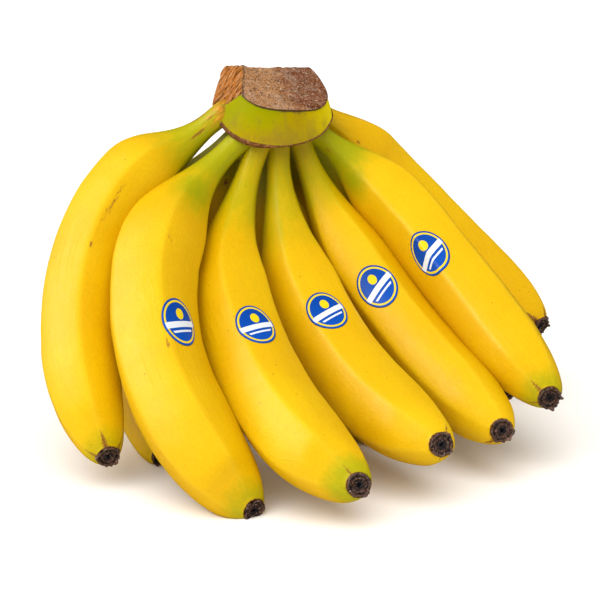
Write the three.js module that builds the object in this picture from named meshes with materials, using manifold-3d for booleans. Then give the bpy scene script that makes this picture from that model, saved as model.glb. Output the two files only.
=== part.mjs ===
// A hand of bananas: one crown with twelve bananas grown from it, and a paper sticker on five of them.
// Millimetres and degrees. +Z is up, the crown's long side lies along X, and the tips point to -Y.
import * as THREE from 'three';
import { mergeVertices } from 'three/addons/utils/BufferGeometryUtils.js';
import Module from 'manifold-3d';

const wasm = await Module();
wasm.setup();

// The crown: the block of old stem that the necks grow from, sawn off at the top. The cut sizes are
// of its section at the sawn face and the rim sizes of its lower edge, both from its middle; the drops
// say how far the rim hangs below the point that the necks start from.
const CROWN = {
  centre: new THREE.Vector3(4.95, 51.55, 146), // where the necks start from
  cutLeft: 19,
  cutBackLeft: 31,
  cutRight: 24.5,
  cutFront: 18,
  cutBack: 24,
  cutRise: 12.3,
  cutSlope: 27.5,
  cutTurn: -12,
  cutSquareness: 2.7, // exponent of the oval section: 2 is an ellipse, more is boxier
  backRise: 21.1, // the top falls away again behind the sawn face
  backSlope: 11.3,
  sideSlope: 4.3,
  overrun: 8, // the column stands this much proud of its top before it is cut
  rimHalfWidth: 27.5,
  rimFront: 23,
  rimBack: 22,
  rimDrop: 0.2,
  rimFrontDrop: 12.2,
  rimBackDrop: 6,
  rimLean: 6,
  rimSquareness: 2.15,
  sideNormal: new THREE.Vector3(-0.68, 0, 0.73).normalize(), // the left end is torn off flat
  sideOffset: 20,
  sides: 40,
  layers: 6,
};

// Each banana starts at a point measured from the crown's centre (right, forward, down).
// fan: to the right of straight down; lean: forward of it; roll: of the plane that it bends in;
// bend: whole turn from neck to tip; early: share of that turn made in the first half;
// neckTurn: sideways turn of the neck out of that plane; shoulder: share of the length where the
// full girth is reached; ridge: angle of a ridge round the section; tipTurn and tipBend: further turns
// sideways and inwards before the tip; lift and swing: tilt of the end face inwards and across.
// hook, where a neck has one: how far its root is raised above the neck's own line.
const BANANAS = [
  { name: 'left', right: -18, forward: -1, down: 0.5, fan: -79, lean: -16, roll: -44, bend: 101,
    early: 0.2, neckTurn: -17, length: 202, girth: 32.6, shoulder: 0.29, ridge: 4,
    tipTurn: -4, tipBend: 0, lift: -3, swing: 28, hook: 4.4 },
  { name: 'front1', right: -15, forward: 6.7, down: 7.2, fan: -74, lean: 10, roll: -42, bend: 101,
    early: 0.05, neckTurn: -30, length: 217, girth: 37.4, shoulder: 0.36, ridge: 0,
    tipTurn: -5, tipBend: 0, lift: -14, swing: 34 },
  { name: 'front2', right: -10, forward: 8, down: 8, fan: -40, lean: 4, roll: -14, bend: 81,
    early: 0.4, neckTurn: -18, length: 215, girth: 35.8, shoulder: 0.42, ridge: 22,
    tipTurn: -4.7, tipBend: 6.7, lift: -3, swing: 36 },
  { name: 'front3', right: -1.5, forward: 7, down: 8, fan: -5, lean: 4, roll: -1, bend: 85,
    early: 0.3, neckTurn: -2, length: 203, girth: 34.6, shoulder: 0.42, ridge: 47,
    tipTurn: -5.2, tipBend: 2.6, lift: 10, swing: 24 },
  { name: 'front4', right: 8.5, forward: 4.5, down: 7, fan: 20, lean: 5, roll: 6, bend: 78,
    early: 0.3, neckTurn: 3, length: 195, girth: 32, shoulder: 0.4, ridge: 34,
    tipTurn: -0.8, tipBend: -2.6, lift: 20, swing: 10 },
  { name: 'front5', right: 13, forward: 5, down: 6, fan: 52, lean: 9, roll: 25, bend: 65,
    early: 0.8, neckTurn: 2, length: 189, girth: 32, shoulder: 0.3, ridge: 24,
    tipTurn: -2.5, tipBend: -3, lift: 26, swing: -7 },
  { name: 'right', right: 20, forward: -3, down: 0, fan: 53, lean: -28, roll: 16, bend: 90,
    early: 0.3, neckTurn: -8, length: 173, girth: 30.6, shoulder: 0.3, ridge: 20,
    tipTurn: -6, tipBend: -5, lift: 8, swing: 0 },
  { name: 'back0', right: -12, forward: -7, down: 11, fan: -50, lean: -25, roll: -31, bend: 106,
    early: 0, neckTurn: 0, length: 178, girth: 34, shoulder: 0.36, ridge: 10,
    tipTurn: 21, tipBend: -18.7, lift: 14, swing: 8 },
  { name: 'back1', right: -6, forward: -12, down: 8, fan: -14, lean: -52, roll: 0, bend: 106,
    early: 0.3, neckTurn: 0, length: 164, girth: 34, shoulder: 0.36, ridge: 40,
    tipTurn: 0, tipBend: 0, lift: 14, swing: 8 },
  { name: 'back2', right: 0, forward: -7, down: 5.3, fan: 6, lean: -14, roll: -2, bend: 91,
    early: 0, neckTurn: 0, length: 176, girth: 34.4, shoulder: 0.36, ridge: 60,
    tipTurn: 0, tipBend: 0, lift: 14, swing: 8 },
  { name: 'back3', right: 13, forward: -13, down: 11.6, fan: 16, lean: -42, roll: -18, bend: 85,
    early: 0.3, neckTurn: 0, length: 166, girth: 33, shoulder: 0.36, ridge: 30,
    tipTurn: 0, tipBend: 0, lift: 14, swing: 8 },
  { name: 'back4', right: 16, forward: -6, down: 8, fan: 31, lean: -13, roll: 4, bend: 79,
    early: 0.4, neckTurn: 0, length: 176, girth: 29.5, shoulder: 0.36, ridge: 15,
    tipTurn: 0, tipBend: 0, lift: 14, swing: 8 },
];

const NECK_RADIUS = 5.4;
const NECK_END = 0.07; // share of the length where the neck starts to swell
const ROOT_FLARE = 1.2;
const HOOK_LENGTH = 50; // length over which a hooked neck comes down and settles
const HOOK_DIP = 3; // how strongly it dips below its own line before that
const ROOT_FLARE_LENGTH = 16;
const TIP_RADIUS = 5.2;
const TAPER_LENGTH = 0.235; // share of the length that narrows towards the tip
const TAPER_START = 2.3; // exponents of the narrowing: how gently it starts
const TAPER_END = 0.66; // and how bluntly it ends
const STUB_LENGTH = 3;
const NECK_TURN_END = 0.3; // share of the length where the neck's sideways turn is over
const EARLY_END = 0.5; // share of the length where the early part of the bend is over
const TIP_TURN_START = 0.7; // share of the length where the tip's own turns begin
const TILT_LENGTH = 24; // length before the stub over which the sections tilt to the end face
const RIDGES = 5;
const RIDGE_HEIGHT = 0.035; // share of the radius
const SIDES = 15;
const RINGS = 22;
const RING_CROWDING = 1.25; // more than 1 sets the rings closer together towards the tip
const SPINE_STEP = 1;
const MERGE_DISTANCE = 1e-4;

const CUTTER = 600; // side of the boxes that cut away what lies beyond a plane

const STICKER = {
  halfLength: 12.2,
  halfWidth: 8.6,
  gap: 0.45,
  thickness: 0.7,
  sides: 20,
  rings: 3,
};

// Where each sticker's middle sits: along the banana, round its section, and its turn on the skin.
const STICKERS = [
  { name: 'sticker_1', banana: 'front1', along: 129, around: 24, turn: -5 },
  { name: 'sticker_2', banana: 'front2', along: 120, around: 47, turn: -6 },
  { name: 'sticker_3', banana: 'front3', along: 107, around: 71, turn: -3 },
  { name: 'sticker_4', banana: 'front4', along: 96, around: 75, turn: 0 },
  { name: 'sticker_5', banana: 'front5', along: 100, around: 97, turn: -1 },
];

const SKIN = new THREE.MeshStandardMaterial({ color: 0xf2c418, roughness: 0.5, metalness: 0 });
const PAPER = new THREE.MeshStandardMaterial({ color: 0x1d4fa3, roughness: 0.45, metalness: 0 });

const rad = THREE.MathUtils.degToRad;
const { clamp, lerp, smoothstep } = THREE.MathUtils;

/** Radius of a banana's smooth body, `along` mm from its root. */
function bodyRadius(banana, along) {
  const { length, girth, shoulder } = banana;
  const body = girth / 2;
  const swell = smoothstep(along, NECK_END * length, shoulder * length);
  const swollen = NECK_RADIUS + (body - NECK_RADIUS) * swell;
  const toStub = length - STUB_LENGTH - along;
  const taper = clamp(1 - toStub / (TAPER_LENGTH * length), 0, 1);
  const tapered = TIP_RADIUS + (body - TIP_RADIUS) * (1 - taper ** TAPER_START) ** TAPER_END;
  const flare = ROOT_FLARE * clamp(1 - along / ROOT_FLARE_LENGTH, 0, 1) ** 2;
  return Math.min(swollen, tapered) + flare;
}

/** Radius at one angle round the section: the body with its ridges. */
function skinRadius(banana, along, angle) {
  const radius = bodyRadius(banana, along);
  const fullness = smoothstep(radius, NECK_RADIUS, banana.girth / 2);
  return radius * (1 + RIDGE_HEIGHT * fullness * Math.cos(RIDGES * (angle - rad(banana.ridge))));
}

/** Angle turned from the root's direction, `along` mm from the root. */
function turnAt(banana, along) {
  const share = clamp(along / banana.length, 0, 1);
  const early = banana.early * smoothstep(share, 0, EARLY_END);
  const late = smoothstep(share, TIP_TURN_START, 1);
  return rad(banana.bend) * ((1 - banana.early) * share + early) + rad(banana.tipBend) * late;
}

/** The plane that a banana bends in: its first direction, its inner side and the axis across it. */
function bendingPlane(banana) {
  const fan = rad(banana.fan);
  const lean = rad(banana.lean);
  const forward = new THREE.Vector3(0, -1, 0);
  const spread = new THREE.Vector3(Math.sin(fan), 0, -Math.cos(fan));
  const start = spread.multiplyScalar(Math.cos(lean)).addScaledVector(forward, Math.sin(lean));
  const axis = new THREE.Vector3().crossVectors(start, forward).normalize();
  axis.applyAxisAngle(start, rad(banana.roll));
  const inner = new THREE.Vector3().crossVectors(axis, start);
  return { start, inner, axis };
}

/** Directions along, across and towards the inside of the bend, `distance` mm from the root. */
function directionsAt(banana, plane, distance) {
  const turn = turnAt(banana, distance);
  const share = clamp(distance / banana.length, 0, 1);
  const neckTurn = rad(banana.neckTurn) * (1 - smoothstep(share, 0, NECK_TURN_END));
  const sideways = neckTurn + rad(banana.tipTurn) * smoothstep(share, TIP_TURN_START, 1);
  const flat = plane.start.clone().multiplyScalar(Math.cos(turn))
    .addScaledVector(plane.inner, Math.sin(turn));
  const inward = new THREE.Vector3().crossVectors(plane.axis, flat);
  const along = flat.multiplyScalar(Math.cos(sideways))
    .addScaledVector(plane.axis, Math.sin(sideways));
  const across = new THREE.Vector3().crossVectors(along, inward);
  return { along, across, inward };
}

/** The same directions with the section tilted towards the end face. */
function tiltedDirectionsAt(banana, plane, distance) {
  const directions = directionsAt(banana, plane, distance);
  const stub = banana.length - STUB_LENGTH;
  const share = smoothstep(distance, stub - TILT_LENGTH, stub);
  const lift = rad(banana.lift) * share;
  const swing = rad(banana.swing) * share;
  const tilt = new THREE.Quaternion().setFromAxisAngle(directions.inward, -swing);
  tilt.multiply(new THREE.Quaternion().setFromAxisAngle(directions.across, lift));
  Object.values(directions).forEach((direction) => direction.applyQuaternion(tilt));
  return directions;
}

/** Stations on a banana's centre line at the given distances from its root, in rising order. */
function spineAt(banana, distances) {
  const plane = bendingPlane(banana);
  const { right, forward, down, hook = 0 } = banana;
  const point = CROWN.centre.clone().add(new THREE.Vector3(right, -forward, -down));
  let reached = 0;
  return distances.map((distance) => {
    const steps = Math.max(1, Math.ceil((distance - reached) / SPINE_STEP));
    const step = (distance - reached) / steps;
    for (let i = 0; i < steps; i += 1) {
      point.addScaledVector(directionsAt(banana, plane, reached + step / 2).along, step);
      reached += step;
    }
    const raised = point.clone();
    const settled = smoothstep(distance, 0, HOOK_LENGTH);
    raised.z += hook * (1 - settled) * (1 - HOOK_DIP * settled);
    return { point: raised, ...tiltedDirectionsAt(banana, plane, distance) };
  });
}

/** A position off the centre line, at a radius and an angle round the section. */
function offSpine(station, radius, angle) {
  return station.point.clone()
    .addScaledVector(station.across, radius * Math.cos(angle))
    .addScaledVector(station.inward, radius * Math.sin(angle));
}

/** Distances of a banana's rings from its root, closer together towards the tip. */
function ringDistances(banana) {
  return Array.from({ length: RINGS }, (_, ring) => {
    const share = ring / (RINGS - 1);
    return (banana.length - STUB_LENGTH) * (1 - (1 - share) ** RING_CROWDING);
  });
}

/** Merges shared vertices and drops the flat triangles at the poles, so that the mesh is closed. */
function closedGeometry(geometry) {
  const bare = geometry.clone();
  bare.deleteAttribute('normal');
  bare.deleteAttribute('uv');
  const merged = mergeVertices(bare, MERGE_DISTANCE);
  const index = merged.index.array;
  const kept = [];
  for (let i = 0; i < index.length; i += 3) {
    const [a, b, c] = [index[i], index[i + 1], index[i + 2]];
    if (a !== b && b !== c && c !== a) kept.push(a, b, c);
  }
  merged.setIndex(kept);
  return merged;
}

/** A closed three.js geometry as a manifold solid. */
function solidOf(geometry) {
  const closed = closedGeometry(geometry);
  return new wasm.Manifold(new wasm.Mesh({
    numProp: 3,
    vertProperties: new Float32Array(closed.attributes.position.array),
    triVerts: new Uint32Array(closed.index.array),
  }));
}

/** A manifold solid as a three.js geometry. */
function geometryOf(solid) {
  const mesh = solid.getMesh();
  const geometry = new THREE.BufferGeometry();
  geometry.setAttribute('position', new THREE.BufferAttribute(mesh.vertProperties, 3));
  geometry.setIndex(new THREE.BufferAttribute(mesh.triVerts, 1));
  geometry.computeVertexNormals();
  return geometry;
}

/** Moves every vertex of a geometry to the place that `place(vertex, index)` gives. */
function reshape(geometry, place) {
  const position = geometry.attributes.position;
  const vertex = new THREE.Vector3();
  for (let i = 0; i < position.count; i += 1) {
    vertex.fromBufferAttribute(position, i);
    position.setXYZ(i, ...place(vertex, i).toArray());
  }
  return geometry;
}

/** One banana: a turned profile of rings, bent along the centre line, with the ridges raised. */
function bananaGeometry(banana) {
  const rings = ringDistances(banana);
  const distances = [0, ...rings, banana.length, banana.length];
  const spine = spineAt(banana, distances);
  const last = distances.length - 1;
  const profile = distances.map((distance, row) => {
    const closed = row === 0 || row === last;
    return new THREE.Vector2(closed ? 0 : 1, distance);
  });
  const lathe = new THREE.LatheGeometry(profile, SIDES);
  return reshape(lathe, (vertex, i) => {
    const row = i % profile.length;
    const column = Math.floor(i / profile.length) % SIDES;
    const angle = -(column / SIDES) * 2 * Math.PI;
    const radius = profile[row].x * skinRadius(banana, distances[row], angle);
    return offSpine(spine[row], radius, angle);
  });
}

/** Half the crown's width at the cut, wider behind the torn left end. */
function cutHalfWidth(across, back) {
  const left = lerp(CROWN.cutLeft, CROWN.cutBackLeft, smoothstep(back, -0.5, 0.5));
  return across < 0 ? left : CROWN.cutRight;
}

/** Height of the crown's top: the sawn face in front, a gentle fall behind it. */
function crownTop(x, y) {
  const sawn = CROWN.cutRise + y * Math.tan(rad(CROWN.cutSlope));
  const behind = CROWN.backRise - y * Math.tan(rad(CROWN.backSlope)) - x * Math.tan(rad(CROWN.sideSlope));
  return Math.min(sawn, behind);
}

/** A point of the crown's flank, measured from its centre: `up` is 0 at the rim and 1 at the top. */
function crownFlank(angle, up) {
  const across = Math.cos(angle);
  const back = Math.sin(angle);
  const rise = Math.min(up, 1);
  const squareness = lerp(CROWN.rimSquareness, CROWN.cutSquareness, rise);
  const boxy = (Math.abs(across) ** squareness + Math.abs(back) ** squareness) ** (-1 / squareness);
  const halfWidth = lerp(CROWN.rimHalfWidth, cutHalfWidth(across, back), rise);
  const rimDepth = back < 0 ? CROWN.rimFront : CROWN.rimBack;
  const halfDepth = lerp(rimDepth, back < 0 ? CROWN.cutFront : CROWN.cutBack, rise);
  const flat = new THREE.Vector3(boxy * across * halfWidth, boxy * back * halfDepth, 0);
  flat.applyAxisAngle(new THREE.Vector3(0, 0, 1), rad(CROWN.cutTurn) * rise);
  const drop = back < 0 ? CROWN.rimFrontDrop : CROWN.rimBackDrop;
  const bottom = flat.x * Math.tan(rad(CROWN.rimLean)) - CROWN.rimDrop - drop * Math.abs(back);
  return flat.setZ(lerp(bottom, crownTop(flat.x, flat.y), rise) + (up > 1 ? CROWN.overrun : 0));
}

/** The crown before its top and its left end are cut: an oval column that narrows upwards. */
function columnGeometry() {
  const { layers, sides, cutRise, overrun, rimDrop } = CROWN;
  const column = new THREE.CylinderGeometry(1, 1, layers, sides, layers);
  return reshape(column, (vertex) => {
    const up = (vertex.y + layers / 2) / (layers - 1);
    const middle = new THREE.Vector3(0, 0, up > 1 ? cutRise + overrun : -rimDrop);
    const flank = crownFlank(Math.atan2(-vertex.z, vertex.x), up);
    return middle.lerp(flank, Math.hypot(vertex.x, vertex.z));
  });
}

/** Everything beyond a plane, measured from the crown's centre. */
function beyondGeometry(normal, offset) {
  const facing = new THREE.Quaternion().setFromUnitVectors(new THREE.Vector3(0, 0, 1), normal);
  const box = new THREE.BoxGeometry(CUTTER, CUTTER, CUTTER);
  return box.translate(0, 0, CUTTER / 2 + offset).applyQuaternion(facing);
}

/** The crown: sawn on a slope in front, falling away behind, its left end torn off. */
function crownSolid() {
  const sawn = new THREE.Vector3(0, -Math.tan(rad(CROWN.cutSlope)), 1);
  const behind = new THREE.Vector3(Math.tan(rad(CROWN.sideSlope)), Math.tan(rad(CROWN.backSlope)), 1);
  const cuts = [
    beyondGeometry(sawn.clone().normalize(), CROWN.cutRise / sawn.length()),
    beyondGeometry(behind.clone().normalize(), CROWN.backRise / behind.length()),
    beyondGeometry(CROWN.sideNormal, CROWN.sideOffset),
  ];
  const { x, y, z } = CROWN.centre;
  return cuts
    .reduce((solid, cut) => solid.subtract(solidOf(cut)), solidOf(columnGeometry()))
    .translate([x, y, z]);
}

/** What lies below the table: the hand rests on small flats pressed into its lowest bananas. */
function tableGeometry() {
  return new THREE.BoxGeometry(CUTTER, CUTTER, CUTTER).translate(0, 0, -CUTTER / 2);
}

/** The whole hand in one solid. */
function handGeometry() {
  const grown = BANANAS.reduce(
    (solid, banana) => solid.add(solidOf(bananaGeometry(banana))),
    crownSolid(),
  );
  return geometryOf(grown.subtract(solidOf(tableGeometry())));
}

/** One sticker: an oval disc that follows the skin, a little off it. */
function stickerGeometry(sticker) {
  const banana = BANANAS.find(({ name }) => name === sticker.banana);
  const { sides, rings, gap, thickness, halfLength, halfWidth } = STICKER;
  const under = Array.from({ length: rings + 1 }, (_, i) => new THREE.Vector2(i / rings, 0));
  const over = under.map(({ x }) => new THREE.Vector2(x, 1)).reverse();
  const disc = new THREE.LatheGeometry([...under, ...over], sides);
  const turn = rad(sticker.turn);
  return reshape(disc, (vertex) => {
    const x = vertex.x * halfWidth;
    const y = vertex.z * halfLength;
    const along = sticker.along + y * Math.cos(turn) - x * Math.sin(turn);
    const across = y * Math.sin(turn) + x * Math.cos(turn);
    const angle = rad(sticker.around) + across / bodyRadius(banana, sticker.along);
    const radius = skinRadius(banana, along, angle) + gap + thickness * vertex.y;
    const [station] = spineAt(banana, [along]);
    return offSpine(station, radius, angle);
  });
}

/** A named mesh. */
function piece(name, geometry, material) {
  const mesh = new THREE.Mesh(geometry, material);
  mesh.name = name;
  return mesh;
}

const bunch = new THREE.Group();
bunch.add(piece('banana_hand', handGeometry(), SKIN));
for (const sticker of STICKERS) {
  const solid = solidOf(stickerGeometry(sticker));
  bunch.add(piece(sticker.name, geometryOf(solid), PAPER));
}

export default bunch;
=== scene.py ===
"""A hand of twelve bananas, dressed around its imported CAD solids.

The plans give lengths in millimetres and angles in degrees, in the part's own frame: +Z is up, the
crown's long side lies along X and the tips point to -Y. Meshes are made in metres.
"""

import logging
import math
from collections.abc import Callable
from dataclasses import dataclass, field
from enum import Enum

import bmesh
import bpy
from mathutils import Matrix, Quaternion, Vector, noise

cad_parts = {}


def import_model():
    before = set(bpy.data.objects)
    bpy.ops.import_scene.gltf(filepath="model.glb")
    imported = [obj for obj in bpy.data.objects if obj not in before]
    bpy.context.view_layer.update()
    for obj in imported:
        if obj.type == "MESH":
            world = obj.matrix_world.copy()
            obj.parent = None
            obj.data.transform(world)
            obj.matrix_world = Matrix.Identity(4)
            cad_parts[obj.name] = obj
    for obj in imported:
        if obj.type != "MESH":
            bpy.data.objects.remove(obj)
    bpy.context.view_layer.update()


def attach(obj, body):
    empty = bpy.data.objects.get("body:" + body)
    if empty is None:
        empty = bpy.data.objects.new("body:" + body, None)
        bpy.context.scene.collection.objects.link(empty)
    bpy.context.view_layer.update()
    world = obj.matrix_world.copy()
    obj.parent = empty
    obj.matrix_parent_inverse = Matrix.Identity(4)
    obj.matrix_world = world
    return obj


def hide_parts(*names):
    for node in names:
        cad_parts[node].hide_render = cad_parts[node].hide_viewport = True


LOG = logging.getLogger("bananas")
MM = 0.001
ROOT_BODY = "root"
HAND_NODE = "banana_hand"
FORWARD = Vector((0.0, -1.0, 0.0))
TABLE_HEIGHT = 0.0
FLOW = "flow"
WHITE = (1.0, 1.0, 1.0, 1.0)
# A colour mix's own sockets: its share and two colours, and its result.
MIX_INPUTS = (0, 6, 7)
MIX_OUTPUT = 2

Colour = tuple[float, float, float, float]
Spot = tuple[Vector, Vector, tuple[float, ...]]
Value = bpy.types.NodeSocket | float | tuple[float, ...]


def clamp(value: float, low: float = 0.0, high: float = 1.0) -> float:
    """Returns the value kept between two limits."""
    return max(low, min(high, value))


def lerp(start: float, end: float, share: float) -> float:
    """Returns the value a share of the way from start to end."""
    return start + (end - start) * share


def portion(value: float, start: float, end: float) -> float:
    """Returns how far a value is on the way from start to end."""
    return (value - start) / (end - start)


def smoothstep(value: float, start: float, end: float) -> float:
    """Returns 0 at start and before it, 1 at end and past it, and an eased value between."""
    share = clamp(portion(value, start, end))
    return share * share * (3.0 - 2.0 * share)


def tone(red: int, green: int, blue: int) -> Colour:
    """Turns a colour on the 0 to 255 screen scale into the linear one that shaders use.

    Args:
        red: Red on the screen scale.
        green: Green on the screen scale.
        blue: Blue on the screen scale.

    Returns:
        The linear colour with full alpha.
    """
    linear = [
        c / 12.92 if c <= 0.04045 else ((c + 0.055) / 1.055) ** 2.4
        for c in (red / 255.0, green / 255.0, blue / 255.0)
    ]
    return (*linear, 1.0)


def add(name: str, data: bpy.types.ID) -> bpy.types.Object:
    """Puts a camera, a light or a mesh in the scene as an object.

    Args:
        name: The object's name.
        data: What it shows.

    Returns:
        The object.
    """
    made = bpy.data.objects.new(name, data)
    bpy.context.scene.collection.objects.link(made)
    return made


def add_mesh(name: str, shell: bmesh.types.BMesh) -> bpy.types.Object:
    """Puts a finished bmesh in the scene, under one name for the object and its mesh.

    Args:
        name: That name.
        shell: The bmesh, which is freed.

    Returns:
        The object.
    """
    mesh = bpy.data.meshes.new(name)
    shell.to_mesh(mesh)
    shell.free()
    return add(name, mesh)


def turned(
    name: str,
    sides: int,
    rows: int,
    fields: tuple[str, ...],
    spot: Callable[[int, float], Spot],
) -> bpy.types.Object:
    """Makes a closed mesh from a sphere's rows and sides, each vertex placed by a rule.

    Args:
        name: Name of the object and its mesh.
        sides: Vertices round a row.
        rows: Steps from one pole to the other.
        fields: Names of the surface values that the rule gives.
        spot: Gives a vertex's place in mm, its place on the straightened piece and its values, from
            its row (0 and rows are the poles) and its angle.

    Returns:
        The object, linked to the scene.
    """
    shell = bmesh.new()
    bmesh.ops.create_uvsphere(shell, u_segments=sides, v_segments=rows, radius=1.0)
    flow = shell.verts.layers.float_vector.new(FLOW)
    layers = [shell.verts.layers.float.new(key) for key in fields]
    for vertex in shell.verts:
        row = round(rows * math.acos(clamp(vertex.co.z, -1.0, 1.0)) / math.pi)
        place, straight, values = spot(row, math.atan2(vertex.co.y, vertex.co.x))
        vertex.co = place * MM
        vertex[flow] = straight
        for layer, value in zip(layers, values):
            vertex[layer] = value
    for face in shell.faces:
        face.smooth = True
    return add_mesh(name, shell)


def dress(piece: bpy.types.Object, material: bpy.types.Material, slot: str, *nodes: str) -> None:
    """Gives a piece its material and ties it to the CAD frame.

    Args:
        piece: The finished object.
        material: Its material.
        slot: A material slot's name, which is not used.
        *nodes: The CAD nodes that it stands for.
    """
    piece.data.materials.append(material)
    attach(piece, ROOT_BODY)
    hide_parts(*nodes)
    LOG.info("%s: %d faces", piece.name, len(piece.data.polygons))


class Paint:
    """A material whose nodes are added by short calls."""

    def __init__(self, name: str) -> None:
        """Makes the material with its surface shader.

        Args:
            name: Name of the material.
        """
        self.material = bpy.data.materials.new(name)
        self.material.use_nodes = True
        self.tree = self.material.node_tree
        self.place = self.node("TexCoord").outputs["Object"]

    def put(self, target: bpy.types.NodeSocket, value: Value) -> None:
        """Links a socket to the target, or sets a plain value on it.

        Args:
            target: The input that gets it.
            value: The socket or the plain value.
        """
        if isinstance(value, bpy.types.NodeSocket):
            self.tree.links.new(value, target)
        else:
            target.default_value = value

    def node(
        self, kind: str, values: dict[str, Value] | None = None, **settings: object
    ) -> bpy.types.Node:
        """Adds a node.

        Args:
            kind: Name of the node type after "ShaderNode".
            values: What its inputs get, by their names.
            **settings: Properties to set on it.

        Returns:
            The node.
        """
        made = self.tree.nodes.new("ShaderNode" + kind)
        for key, value in settings.items():
            setattr(made, key, value)
        for key, value in (values or {}).items():
            self.put(made.inputs[key], value)
        return made

    def attribute(self, name: str) -> bpy.types.NodeSocket:
        """Returns a number that the mesh carries."""
        return self.node("Attribute", attribute_name=name).outputs["Fac"]

    def flow(self) -> bpy.types.NodeSocket:
        """Returns the position on the straightened piece, in mm."""
        return self.node("Attribute", attribute_name=FLOW).outputs["Vector"]

    def scaled(self, vector: Value, scale: tuple[float, float, float]) -> bpy.types.NodeSocket:
        """Returns the vector with each part scaled."""
        return self.node("Mapping", {"Vector": vector, "Scale": scale}).outputs["Vector"]

    def noise(
        self,
        scale: float,
        detail: float = 2.0,
        rough: float = 0.5,
        warp: float = 0.0,
        at: Value | None = None,
    ) -> bpy.types.NodeSocket:
        """Adds cloudy noise.

        Args:
            scale: How fine it is.
            detail: How many finer layers it has.
            rough: How strong those are.
            warp: How far it is twisted.
            at: Where it is read, if not at the position on the object.

        Returns:
            The noise, from 0 to 1.
        """
        values = {"Vector": self.place if at is None else at, "Scale": scale, "Detail": detail,
                  "Roughness": rough, "Distortion": warp}
        return self.node("TexNoise", values).outputs["Fac"]

    def strands(
        self, across: float, along: float, detail: float = 2.0, rough: float = 0.5
    ) -> bpy.types.NodeSocket:
        """Adds noise drawn out along the straightened piece.

        Args:
            across: How fine it is across the piece, per mm.
            along: How fine it is along it, per mm.
            detail: How many finer layers it has.
            rough: How strong those are.

        Returns:
            The noise, from 0 to 1.
        """
        return self.noise(1.0, detail, rough, at=self.scaled(self.flow(), (across, across, along)))

    def math(self, operation: str, *values: Value) -> bpy.types.NodeSocket:
        """Adds a sum.

        Args:
            operation: Blender's name of the operation.
            *values: What it works on.

        Returns:
            The result.
        """
        made = self.node("Math", operation=operation)
        for target, value in zip(made.inputs, values):
            self.put(target, value)
        return made.outputs["Value"]

    def plus(self, first: Value, second: Value) -> bpy.types.NodeSocket:
        """Returns one value plus the other."""
        return self.math("ADD", first, second)

    def times(self, first: Value, second: Value) -> bpy.types.NodeSocket:
        """Returns one value times the other."""
        return self.math("MULTIPLY", first, second)

    def off(self, value: Value, middle: float) -> bpy.types.NodeSocket:
        """Returns how far a value is from a middle one."""
        return self.math("ABSOLUTE", self.math("SUBTRACT", value, middle))

    def eased(
        self, value: Value, start: float, end: float, low: float = 0.0, high: float = 1.0
    ) -> bpy.types.NodeSocket:
        """Adds an eased step.

        Args:
            value: What it reads.
            start: Where the step starts.
            end: Where it ends.
            low: Result before the start.
            high: Result after the end.

        Returns:
            The result.
        """
        values = {"Value": value, "From Min": start, "From Max": end, "To Min": low, "To Max": high}
        return self.node("MapRange", values, interpolation_type="SMOOTHSTEP").outputs["Result"]

    def mix(
        self, share: Value, first: Value, second: Value, blend: str = "MIX"
    ) -> bpy.types.NodeSocket:
        """Adds a mix of two colours.

        Args:
            share: How much of the second.
            first: The colour below.
            second: The colour above.
            blend: Blender's name of the way to mix.

        Returns:
            The mixed colour.
        """
        made = self.node("Mix", data_type="RGBA", blend_type=blend)
        for index, value in zip(MIX_INPUTS, (share, first, second)):
            self.put(made.inputs[index], value)
        return made.outputs[MIX_OUTPUT]

    def coats(self, ground: Value, *coats: tuple[Value, Value]) -> Value:
        """Lays coats of colour over a ground.

        Args:
            ground: The lowest colour.
            *coats: Each coat's share and colour, from the lowest up.

        Returns:
            The colour that shows.
        """
        for share, colour in coats:
            ground = self.mix(share, ground, colour)
        return ground

    def bump(self, height: Value, depth: float, under: Value | None = None) -> bpy.types.NodeSocket:
        """Adds relief.

        Args:
            height: The relief, from 0 to 1.
            depth: How deep it is, in metres.
            under: A coarser relief below it.

        Returns:
            The bent normal.
        """
        values = {"Strength": 1.0, "Distance": depth, "Height": height}
        if under is not None:
            values["Normal"] = under
        return self.node("Bump", values).outputs["Normal"]

    def finish(
        self, colour: Value, roughness: Value, specular: float, normal: Value | None = None
    ) -> bpy.types.Material:
        """Sets the surface.

        Args:
            colour: Its colour.
            roughness: How dull it is.
            specular: How strongly it shines.
            normal: Its relief.

        Returns:
            The finished material.
        """
        surface = self.tree.nodes["Principled BSDF"].inputs
        self.put(surface["Base Color"], colour)
        self.put(surface["Roughness"], roughness)
        self.put(surface["Specular IOR Level"], specular)
        if normal is not None:
            self.put(surface["Normal"], normal)
        return self.material


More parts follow.
